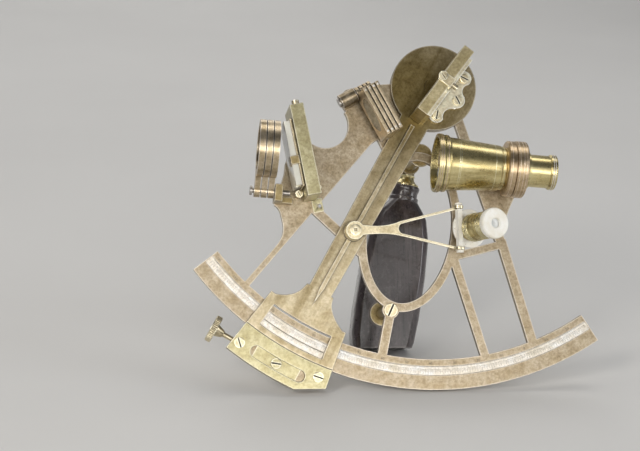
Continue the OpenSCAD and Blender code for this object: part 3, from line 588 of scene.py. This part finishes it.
def telescope_detail():
    """Turned lines on the rim, the body, the collar and the eye cap."""
    tele = basis(RIM, W * -1, SCOPE)
    rings_on("rim_lines", tele, [(18.5, 1.0, 0.3), (18.5, 2.3, 0.3), (18.0, 5.6, 0.3)],
             "collar_brass", "telescope")
    rings_on("telescope_lines", tele, [(16.4, 13.0, 0.16), (16.3, 14.0, 0.16), (14.5, 36.5, 0.18),
                                       (13.7, 42.2, 0.3)], "yellow_brass", "telescope")
    rings_on("collar_lines", tele, [(17.6, 46.4, 0.22)] + [(17.9, z, 0.22) for z in (51.2, 53.6, 55.4)],
             "collar_brass", "telescope")
    rings_on("eye_lines", tele, [(11.2, 74.2, 0.24), (11.2, 75.4, 0.24)], "silver", "draw_tube")


def shade_rivets():
    """Rivets at the ends of the index shades' outer edges."""
    along = polar(SHADE_ANGLE)
    place = basis(HUB, along, W)
    dome = [(0.85 * math.cos(a), 0.5 * math.sin(a)) for a in (0.0, 0.5, 1.0, 1.35)]
    for k in (1, 2, 3, 4):
        x = (joint_at("index_shade_%d_hinge" % k) - HUB).dot(along) / MM
        bm = bmesh.new()
        for y in (-13.6, 15.6):
            rings = lathe(bm, dome, 16, Matrix.Translation((x, y, 36.95)))
            bm.faces.new(rings[-1])
        ob = new_piece("index_shade_rivets_%d" % k, bm, MATS["silver"], "index_shade_%d" % k, place,
                       smooth=True)


# painted shade in the slots of the mirror, cover, clamp slide and handle screws
def slot_dirt():
    screw_top = 4.5 + 2.3 + 1.1
    dirt("mirror_slots", [(x, y, screw_top, 5.8, 0.85, 60 + 2.5 * x)
                          for x, y in ((16.4, -12.1), (2.2, -17.2), (-13.8, -12.1))],
         TO_ROW @ hub_turn(MIRROR_ANGLE), "arm")
    dirt("cover_slots", [(205.4, -28.6, 4.25, 6.4, 0.95, 75 - 28.6), (200, 25.4, 4.25, 6.4, 0.95, 75 + 25.4)],
         ARM_ROW, "arm")
    dirt("slide_slot", [(205.5, -2, 3.15, 6.4, 0.95, 110)], ARM_ROW, "clamp_slide")
    a = math.radians(LOWER_SCREW_ANGLE)
    dirt("handle_slot", [(146.9 * math.cos(a), 146.9 * math.sin(a), 0.65, 8.2, 1.2, 65)], TO_ROW, "base")


# ---------------------------------------------------------------- floor, light, camera
# Places and sizes here are metres in the row frame, and lights' powers are watts.
WARM, COOL = (1.0, 0.98, 0.95), (0.95, 0.97, 1.0)
SOFT = (1.0, 0.98, 0.94)
# name, place, target, size, power, colour
LIGHTS = (
    ("key", (-0.75, -0.80, 0.72), (0, 0, 0.1), (0.42, 0.42), 4.6, (1.0, 0.95, 0.88)),
    ("panel", (0.05, -1.60, 0.74), (0, 0, 0.12), (1.5, 1.2), 4.8, SOFT),
    ("strip", (0.0, -1.65, 0.54), (0, 0, 0.12), (1.3, 0.40), 6.4, WARM),
    ("fill", (1.15, -0.45, 0.40), (0, 0, 0.1), (0.5, 0.6), 4.6, COOL),
    ("top", (0.1, 0.45, 1.2), (0, 0, 0.1), (0.9, 0.3), 1.6, SOFT),
    ("rear", (-0.3, 1.5, 0.9), (0, 0, 0.15), (1.2, 0.8), 4.0, WARM),
    ("backdrop", (0, 0.35, 1.5), (0, 1.5, 0.1), (2.4, 0.6), 8, WARM),
)


def add_floor():
    """A floor that curves up into a backdrop."""
    front, back, top, side = -8.0, 2.0, 3.4, 7.0
    bend_from, bend_r, steps = 1.2, 0.8, 14
    turns = [math.pi / 2 * i / steps for i in range(steps + 1)]
    bend = [(bend_from + bend_r * math.sin(a), bend_r - bend_r * math.cos(a)) for a in turns]
    rows = [(front, 0.0)] + bend + [(back, top)]
    bm = bmesh.new()
    left, right = [[bm.verts.new((x, y, z)) for y, z in rows] for x in (-side, side)]
    for i in range(len(rows) - 1):
        bm.faces.new((left[i], right[i], right[i + 1], left[i + 1]))
    floor = mesh_object("floor", bm, paper("floor_paper"), True)


def add_world():
    world = bpy.data.worlds.new("studio")
    bpy.context.scene.world = world
    world.use_nodes = True
    background = world.node_tree.nodes["Background"]
    background.inputs["Color"].default_value = (0.82, 0.88, 0.96, 1)
    background.inputs["Strength"].default_value = 0.11


def add_light(name, place, target, size, power, colour):
    data = bpy.data.lights.new(name, "AREA")
    data.shape = "RECTANGLE"
    data.size, data.size_y = size
    data.energy = power
    data.color = colour
    ob = bpy.data.objects.new(name, data)
    ob.location = place
    ob.rotation_mode = "QUATERNION"
    ob.rotation_quaternion = (Vector(target) - Vector(place)).to_track_quat("-Z", "Y")
    bpy.context.scene.collection.objects.link(ob)


def add_camera():
    azimuth, elevation, roll = -6.324, 18.395, 2.003
    camera = bpy.data.objects.new("camera", bpy.data.cameras.new("camera"))
    bpy.context.scene.collection.objects.link(camera)
    bpy.context.scene.camera = camera
    camera.data.sensor_width = 36
    camera.data.lens = 88.89
    aim = Euler((math.radians(90 - elevation), 0, math.radians(azimuth))).to_matrix()
    camera.rotation_euler = (aim @ Matrix.Rotation(math.radians(roll), 3, "Z")).to_euler()
    camera.location = (-0.1553, -0.9698, 0.4172)
    camera.data.clip_start, camera.data.clip_end = 0.05, 20


finish_cad_nodes()
scale_lines()
scale_numbers()
vernier_lines()
milled_heads()
magnifier_detail()
telescope_detail()
shade_rivets()
slot_dirt()

add_floor()
add_world()
for light in LIGHTS:
    add_light(*light)
bpy.context.scene.view_settings.view_transform = "Standard"
add_camera()
